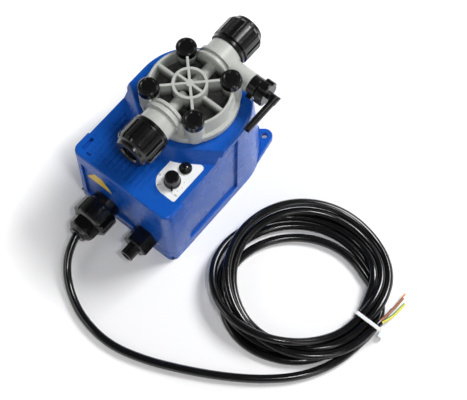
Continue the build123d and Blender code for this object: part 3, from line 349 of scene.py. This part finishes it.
def jacket_finish(settings):
    """The lead's jacket: near black, smooth, with faint fine grain and dust."""
    f = Finish("lead_jacket")
    dust = f.span(f.noise(300, 6, 0.65), 0.6, 0.85, 0.0, 0.25)
    f.link(f.mix(dust, settings.cord_colour, scaled(settings.cord_colour, 4)), f.shader.inputs["Base Color"])
    f.link(f.span(f.noise(90, 4), 0.3, 0.7, 0.13, 0.2), f.shader.inputs["Roughness"])
    f.link(f.bump(f.noise(500, 3), 0.03, 0.05 * MM), f.shader.inputs["Normal"])
    f.set(Specular_IOR_Level=0.55)
    return f.material


def tie_finish(settings):
    f = moulded("nylon", (0.82, 0.84, 0.86), 0.3, relief=0.05, edge=0.2, wear=1.1, drift=0.02)
    f.set(Subsurface_Weight=0.2, Subsurface_Scale=1.0 * MM)
    return f.material


def insulation(name, colour):
    return moulded(name, colour, 0.32, relief=0.04, edge=0.1, wear=1.2, drift=0.05).material


def striped_insulation(settings):
    """Yellow with one green stripe along the wire."""
    f = Finish("striped_insulation")
    facing = f.add("ShaderNodeNewGeometry")
    side = f.add("ShaderNodeVectorMath", operation="DOT_PRODUCT")
    f.link(facing.outputs["Normal"], side.inputs[0])
    side.inputs[1].default_value = (-0.85, 0.2, 0.45)
    stripe = f.span(side.outputs["Value"], 0.55, 0.7, 0.0, 1.0)
    tint = f.noise(200, 2)
    green = f.mix(tint, (0.04, 0.28, 0.12), (0.05, 0.34, 0.16))
    yellow = f.mix(tint, (0.72, 0.66, 0.03), (0.82, 0.76, 0.06))
    f.link(f.mix(stripe, yellow, green), f.shader.inputs["Base Color"])
    f.link(f.span(tint, 0.3, 0.7, 0.28, 0.38), f.shader.inputs["Roughness"])
    f.link(f.bump(f.noise(1500), 0.05, 0.02 * MM), f.shader.inputs["Normal"])
    return f.material


def brown_insulation(settings):
    return insulation("brown_insulation", (0.30, 0.09, 0.03))


def blue_insulation(settings):
    return insulation("blue_insulation", (0.03, 0.16, 0.36))


FINISHES = {
    "housing_blue": housing_finish,
    "head_grey": head_finish,
    "plate_grey": head_finish,
    "black_gloss": black_finish,
    "black_inner": black_inner_finish,
    "label_white": label_finish,
    "led_dark": lens_finish,
    "led_ring": black_finish,
    "seal_rubber": rubber_finish,
    "valve_grey": valve_finish,
    "ball_ceramic": ceramic_finish,
    "diaphragm_white": diaphragm_finish,
    "steel": steel_finish,
    "bronze": bronze_finish,
    "copper": copper_finish,
    "board_green": board_finish,
    "cord_black": jacket_finish,
    "tie_white": tie_finish,
    "wire_brown": brown_insulation,
    "wire_blue": blue_insulation,
    "wire_green_yellow": striped_insulation,
}
made = {}


def finish_for(slot):
    """The material of a slot, made once."""
    maker = FINISHES[slot]
    if maker not in made:
        made[maker] = maker(bpy.context.scene.pump)
    return made[maker]


# ------------------------------------------------------------------ shared mesh helpers
def new_piece(name, mesh, body, slot, material=None):
    """Links a finished mesh as a piece, with its finish and the body that it rides on."""
    piece = bpy.data.objects.new(name, mesh)
    bpy.context.scene.collection.objects.link(piece)
    mesh.materials.clear()
    mesh.materials.append(material or finish_for(slot))
    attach(piece, body)
    return piece


def mesh_from(bm, name):
    mesh = bpy.data.meshes.new(name)
    bmesh.ops.recalc_face_normals(bm, faces=bm.faces)
    bm.to_mesh(mesh)
    bm.free()
    return mesh


def evaluated_mesh(source):
    """A plain mesh of a curve or text object, which is then removed."""
    bpy.context.view_layer.update()
    graph = bpy.context.evaluated_depsgraph_get()
    mesh = bpy.data.meshes.new_from_object(source.evaluated_get(graph))
    bpy.data.objects.remove(source)
    return mesh


# ------------------------------------------------------------------ mains lead
def coil_point(turn, angle):
    """A point of one turn before it settles, in metres."""
    (along, across), (half_along, half_across), (high_left, low_left) = TURNS[turn]
    u = (along + half_along * math.cos(angle)) * MM
    v = (across + half_across * math.sin(angle)) * MM
    top_left = max(0.0, math.cos(angle - TOP_LEFT))
    bottom_left = max(0.0, math.cos(angle - BOTTOM_LEFT))
    layer = turn * TURN_RISE + high_left * top_left + low_left * bottom_left
    turned = Matrix.Rotation(COIL_TURN, 3, "Z") @ Vector((u, v, 0))
    return COIL_CENTRE + turned + Vector((0, 0, CORD_DIAMETER / 2 + layer * CORD_DIAMETER))


def tie_point(passing):
    """Where the cord lies in the tie on each passing: three side by side, then three above."""
    lane = (1, 0, -1, -1, 0, 1)[passing]
    layer = passing // 3
    return TIE_CENTRE + Vector((lane * TIE_LANE, 0, CORD_DIAMETER / 2 + layer * TIE_LANE))


def coil_path(steps):
    """The turns from the tie round to the tie, each drawn in to its lane near the tie."""
    path = []
    for turn in range(len(TURNS)):
        for step in range(steps):
            share = step / steps
            angle = TIE_ANGLE + 2 * math.pi * share
            off = min(share, 1 - share) * 2 * math.pi
            pull = math.exp(-((off / TIE_REACH) ** 2))
            passing = turn if share < 0.5 else turn + 1
            along = (share if share < 0.5 else share - 1) * 2 * math.pi
            lane = tie_point(passing) + Vector((0, along * LANE_LENGTH, 0))
            lane.x -= (1 - math.cos(along)) * LANE_BOW
            path.append(coil_point(turn, angle).lerp(lane, pull))
    path.append(tie_point(len(TURNS)))
    return path


def settle(path):
    """Pushes turns that touch apart, keeps them smooth, and lets them lie down on the floor."""
    points = np.array([tuple(p) for p in path])
    home = points.copy()
    rows, columns = np.triu_indices(len(points), k=NEIGHBOURS)
    floor = CORD_DIAMETER / 2
    apart_by = CORD_DIAMETER * 1.01
    for _ in range(SETTLE_ROUNDS):
        apart = points[rows] - points[columns]
        distance = np.linalg.norm(apart, axis=1) + 1e-9
        near = distance < apart_by
        push = (apart[near] / distance[near, None]) * (apart_by - distance[near, None])
        move = np.zeros_like(points)
        np.add.at(move, rows[near], push * 0.25)
        np.add.at(move, columns[near], -push * 0.25)
        smooth = np.zeros_like(points)
        moved = points - home
        smooth[1:-1] = (moved[:-2] + moved[2:]) / 2 - moved[1:-1]
        home_pull = (home - points) * (0.02, 0.02, 0.0)
        points[1:-2] += (move + smooth * 0.25 + home_pull)[1:-2]
        points[1:-2, 2] -= 0.03 * MM
        points[:, 2] = np.maximum(points[:, 2], floor)
    return [Vector(p) for p in points]


def lead_route(settings):
    """All control points of the lead, from the gland to its cut end beyond the tie."""
    lead = [Vector(p) * MM for p in LEAD_POINTS]
    settled = settle(coil_path(settings.coil_points * FINE_STEPS))
    coil = settled[:-1:FINE_STEPS] + [settled[-1]]
    return lead + [JOIN_POINT] + coil + [coil[-1] + CUT_END]


def lead_curve(name, points, bevel):
    data = bpy.data.curves.new(name, "CURVE")
    data.dimensions = "3D"
    spline = data.splines.new("NURBS")
    spline.points.add(len(points) - 1)
    for control, point in zip(spline.points, points):
        control.co = (*point, 1.0)
    spline.order_u = 3
    spline.use_endpoint_u = True
    spline.resolution_u = 6
    data.bevel_depth = bevel
    data.bevel_resolution = 5
    data.use_fill_caps = True
    curve = bpy.data.objects.new(name, data)
    bpy.context.scene.collection.objects.link(curve)
    return curve


# ------------------------------------------------------------------ operators
class PUMP_OT_finishes(bpy.types.Operator):
    """Gives every solid of the pump the finish of its material slot"""

    bl_idname = "pump.finishes"
    bl_label = "Finish the solids"

    def execute(self, context):
        slots = {row["node"]: row["material_slot"] for row in frame["record"]["subparts"]}
        for name, node in frame["nodes"].items():
            for material_slot in node.material_slots:
                material_slot.material = finish_for(slots[name])
        return {"FINISHED"}


class PUMP_OT_lead(bpy.types.Operator):
    """Lays the mains lead from its gland, through the coil and the tie, to its cut end"""

    bl_idname = "pump.lead"
    bl_label = "Lay the mains lead"

    def execute(self, context):
        points = lead_route(context.scene.pump)
        line = evaluated_mesh(lead_curve("lead_line", points, 0.0))
        bpy.data.meshes.remove(line)
        lead = lead_curve("mains_lead", points, CORD_DIAMETER / 2)
        lead.data.materials.append(finish_for("cord_black"))
        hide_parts("cord_lead", "cord_coil")
        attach(lead, "housing")
        return {"FINISHED"}


class PUMP_OT_wire_tips(bpy.types.Operator):
    """Adds the bare copper strands at the end of the brown wire"""

    bl_idname = "pump.wire_tips"
    bl_label = "Bare the wire tip"

    def execute(self, context):
        low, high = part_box("wire_brown")
        root = Vector(((low.x + high.x) / 2 + 0.3 * MM, high.y - 1.5 * MM, low.z + 1.3 * MM))
        bm = bmesh.new()
        for strand in range(7):
            turn = 2 * math.pi * strand / 6
            side = Vector((math.cos(turn), 0, math.sin(turn))) * (0.35 * MM if strand < 6 else 0)
            way = (Vector((0.02, 1.0, -0.12)) + side * 160).normalized()
            place = way.to_track_quat("Z", "Y").to_matrix().to_4x4()
            place.translation = root + side + way * 3.2 * MM
            bmesh.ops.create_cone(bm, cap_ends=True, segments=8, radius1=0.17 * MM, radius2=0.14 * MM,
                                  depth=5.5 * MM, matrix=place)
        new_piece("wire_brown_strands", mesh_from(bm, "wire_brown"), "housing", "copper")
        return {"FINISHED"}


class PUMP_OT_dial(bpy.types.Operator):
    """Prints the plain scale of ticks and numbers round the stroke knob"""

    bl_idname = "pump.dial"
    bl_label = "Print the dial"

    def execute(self, context):
        low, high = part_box("knob_shaft")
        centre = (low + high) / 2
        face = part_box("label_plate")[1].z
        ink = moulded("dial_ink", (0.12, 0.12, 0.13), 0.5, relief=0.02, edge=0.02, wear=1.0).material
        self.ticks(centre, face, ink)
        self.numbers(context, centre, face, ink)
        return {"FINISHED"}

    def ticks(self, centre, face, ink):
        bm = bmesh.new()
        for index in range(DIAL_TICKS):
            angle = math.radians(DIAL_START + DIAL_STEP * index)
            long = index % 5 == 0
            size = Vector(((1.7 if long else 1.1) * MM, 0.28 * MM, 0.03 * MM))
            reach = DIAL_RADIUS + size.x / 2
            place = Matrix.Translation((centre.x + reach * math.cos(angle),
                                        centre.y + reach * math.sin(angle), face + size.z / 2))
            turn = Matrix.Rotation(angle, 4, "Z") @ Matrix.Diagonal((*size, 1))
            if abs(index * DIAL_STEP - LAMP_BEZEL_TURN) > LAMP_BEZEL_REACH:
                bmesh.ops.create_cube(bm, size=1, matrix=place @ turn)
        new_piece("dial_ticks", mesh_from(bm, "dial_ticks"), "housing", "label_white", ink)

    def numbers(self, context, centre, face, ink):
        height = context.scene.pump.mark_height
        for text, angle in DIAL_NUMBERS:
            data = bpy.data.curves.new("number", "FONT")
            data.body = text
            data.size = height * 1.4
            data.align_x = "CENTER"
            data.align_y = "CENTER"
            data.extrude = 0.015 * MM
            number = bpy.data.objects.new("number", data)
            context.scene.collection.objects.link(number)
            mesh = evaluated_mesh(number)
            turn = math.radians(angle)
            mesh.transform(Matrix.Translation((centre.x + NUMBER_RADIUS * math.cos(turn),
                                               centre.y + NUMBER_RADIUS * math.sin(turn), face + 0.015 * MM)))
            new_piece("dial_number_" + text, mesh, "housing", "label_white", ink)


class PUMP_OT_triangle(bpy.types.Operator):
    """Sticks the plain yellow triangle on the recessed end panel"""

    bl_idname = "pump.triangle"
    bl_label = "Stick the triangle"

    def execute(self, context):
        bm = bmesh.new()
        corner_points = [bm.verts.new((x * MM, END_PANEL_Y, z * MM)) for x, z in TRIANGLE_CORNERS]
        bm.faces.new(corner_points)
        bmesh.ops.bevel(bm, geom=corner_points, offset=0.9 * MM, segments=4, profile=0.5,
                        affect="VERTICES", material=-1)
        raised = bmesh.ops.extrude_face_region(bm, geom=bm.faces[:])
        moved = [item for item in raised["geom"] if isinstance(item, bmesh.types.BMVert)]
        bmesh.ops.translate(bm, verts=moved, vec=(0, -0.18 * MM, 0))
        colour = context.scene.pump.triangle_colour
        paint = moulded("yellow_film", colour, 0.3, relief=0.02, edge=0.1, wear=1.1, drift=0.04)
        new_piece("yellow_triangle", mesh_from(bm, "yellow_triangle"), "housing", "label_white",
                  paint.material)
        return {"FINISHED"}


class PUMP_OT_stage(bpy.types.Operator):
    """Sets the white floor, the lamps, the surroundings and the camera"""

    bl_idname = "pump.stage"
    bl_label = "Set the stage"

    def execute(self, context):
        self.floor(context)
        self.surroundings(context)
        self.lamps(context)
        self.camera(context)
        context.scene.view_settings.view_transform = "Standard"
        return {"FINISHED"}

    def floor(self, context):
        bm = bmesh.new()
        bmesh.ops.create_grid(bm, x_segments=1, y_segments=1, size=6.0)
        mesh = mesh_from(bm, "floor")
        floor = bpy.data.objects.new("floor", mesh)
        floor.location = (0.08, -0.03, -0.0002)
        context.scene.collection.objects.link(floor)
        f = Finish("floor_paper")
        f.set(Base_Color=(0.86, 0.86, 0.865, 1.0), Roughness=0.9, Specular_IOR_Level=0.0)
        # Painted light: the floor glows for camera, reflection and transmission rays, weakly within
        # FLOOR_NEAR of its centre and strongly beyond FLOOR_FAR, so the floor near the pump is left darker
        # than further off.
        glow = f.add("ShaderNodeEmission")
        glow.inputs["Color"].default_value = (1.0, 1.0, 1.0, 1.0)
        seen = self.seen_straight(f)
        reach = f.add("ShaderNodeVectorMath", operation="LENGTH")
        f.link(f.place, reach.inputs[0])
        painted_glow_level = f.span(reach.outputs["Value"], FLOOR_NEAR, FLOOR_FAR, 0.12, 0.8)
        strength = f.add("ShaderNodeMath", operation="MULTIPLY")
        f.link(seen, strength.inputs[0])
        f.link(painted_glow_level, strength.inputs[1])
        f.link(strength.outputs[0], glow.inputs["Strength"])
        both = f.add("ShaderNodeAddShader")
        f.link(f.shader.outputs["BSDF"], both.inputs[0])
        f.link(glow.outputs["Emission"], both.inputs[1])
        f.link(both.outputs["Shader"], f.output.inputs["Surface"])
        mesh.materials.append(f.material)

    def seen_straight(self, f):
        """1 for rays from the camera, in a reflection or through something clear."""
        path = f.add("ShaderNodeLightPath")
        first = f.add("ShaderNodeMath", operation="MAXIMUM")
        second = f.add("ShaderNodeMath", operation="MAXIMUM")
        f.link(path.outputs["Is Camera Ray"], first.inputs[0])
        f.link(path.outputs["Is Glossy Ray"], first.inputs[1])
        f.link(first.outputs[0], second.inputs[0])
        f.link(path.outputs["Is Transmission Ray"], second.inputs[1])
        return second.outputs[0]

    def surroundings(self, context):
        """White where the camera looks past the floor, and a dim room with a pale horizon."""
        world = bpy.data.worlds.new("studio")
        world.use_nodes = True
        tree = world.node_tree
        tree.nodes.clear()
        out = tree.nodes.new("ShaderNodeOutputWorld")
        white = tree.nodes.new("ShaderNodeBackground")
        white.inputs["Color"].default_value = (1, 1, 1, 1)
        room = tree.nodes.new("ShaderNodeBackground")
        room.inputs["Strength"].default_value = 0.5
        path = tree.nodes.new("ShaderNodeLightPath")
        mix = tree.nodes.new("ShaderNodeMixShader")
        place = tree.nodes.new("ShaderNodeTexCoord")
        sort = tree.nodes.new("ShaderNodeSeparateXYZ")
        ramp = tree.nodes.new("ShaderNodeValToRGB")
        ramp.color_ramp.elements[0].position = 0.0
        ramp.color_ramp.elements[0].color = (1.0, 1.0, 1.0, 1)
        ramp.color_ramp.elements[1].position = 0.75
        ramp.color_ramp.elements[1].color = (0.09, 0.09, 0.094, 1)
        tree.links.new(place.outputs["Generated"], sort.inputs[0])
        tree.links.new(sort.outputs["Z"], ramp.inputs["Fac"])
        tree.links.new(ramp.outputs["Color"], room.inputs["Color"])
        tree.links.new(path.outputs["Is Camera Ray"], mix.inputs["Fac"])
        tree.links.new(room.outputs["Background"], mix.inputs[1])
        tree.links.new(white.outputs["Background"], mix.inputs[2])
        tree.links.new(mix.outputs["Shader"], out.inputs["Surface"])
        context.scene.world = world

    def lamps(self, context):
        """(name, place, size, power): a soft key behind and to the right, a small hard lamp for
        thin highlights, and two weak fills."""
        level = context.scene.pump.light_level
        target = Vector((0.06, -0.03, 0.05))
        rows = [
            ("key", (0.42, 0.90, 1.15), (0.55, 0.55), 21.0),
            ("sparkle", (0.46, -0.20, 1.05), (0.12, 0.12), 2.6),
            ("fill_right", (1.2, -0.5, 0.9), (0.3, 0.9), 1.8),
            ("fill_front", (-0.7, -1.0, 0.9), (0.5, 0.3), 2.0),
        ]
        for name, place, size, power in rows:
            data = bpy.data.lights.new(name, "AREA")
            data.shape = "RECTANGLE"
            data.size, data.size_y = size
            data.energy = power * level
            lamp = bpy.data.objects.new(name, data)
            lamp.location = place
            lamp.rotation_mode = "QUATERNION"
            lamp.rotation_quaternion = (target - Vector(place)).to_track_quat("-Z", "Y")
            context.scene.collection.objects.link(lamp)

    def camera(self, context):
        """The camera, at a known turn, height, roll and distance from its target."""
        azimuth, elevation, roll = (math.radians(v) for v in (39.59, 66.14, -0.39))
        image_width, focal_pixels, distance = 467, 1256.9, 1.0726
        target = Vector((54.71, -13.78, 0.0)) * MM
        back = Vector((math.sin(azimuth) * math.cos(elevation),
                       -math.cos(azimuth) * math.cos(elevation), math.sin(elevation)))
        right = Vector((math.cos(azimuth), math.sin(azimuth), 0))
        up = back.cross(right)
        turned_right = right * math.cos(roll) + up * math.sin(roll)
        turned_up = up * math.cos(roll) - right * math.sin(roll)
        data = bpy.data.cameras.new("camera")
        data.sensor_width = 36.0
        data.lens = focal_pixels * data.sensor_width / image_width
        data.clip_start = 0.01
        camera = bpy.data.objects.new("camera", data)
        turn = Matrix((turned_right, turned_up, back)).transposed().to_4x4()
        camera.matrix_world = Matrix.Translation(target + back * distance) @ turn
        context.scene.collection.objects.link(camera)
        context.scene.camera = camera


class PUMP_PT_panel(bpy.types.Panel):
    """Shows the pump's settings and steps in the sidebar"""

    bl_idname = "PUMP_PT_panel"
    bl_label = "Metering pump"
    bl_space_type = "VIEW_3D"
    bl_region_type = "UI"
    bl_category = "Pump"

    def draw(self, context):
        for key in PumpSettings.__annotations__:
            self.layout.prop(context.scene.pump, key)
        for operator in OPERATORS:
            self.layout.operator(operator.bl_idname)


OPERATORS = [
    PUMP_OT_finishes,
    PUMP_OT_lead,
    PUMP_OT_wire_tips,
    PUMP_OT_dial,
    PUMP_OT_triangle,
    PUMP_OT_stage,
]
CLASSES = [PumpSettings, *OPERATORS, PUMP_PT_panel]


def register():
    for cls in CLASSES:
        bpy.utils.register_class(cls)
    bpy.types.Scene.pump = bpy.props.PointerProperty(type=PumpSettings)


def unregister():
    del bpy.types.Scene.pump
    for cls in reversed(CLASSES):
        bpy.utils.unregister_class(cls)


def main():
    register()
    bpy.ops.pump.finishes()
    bpy.ops.pump.lead()
    bpy.ops.pump.wire_tips()
    bpy.ops.pump.dial()
    bpy.ops.pump.triangle()
    bpy.ops.pump.stage()


if __name__ == "__main__":
    main()
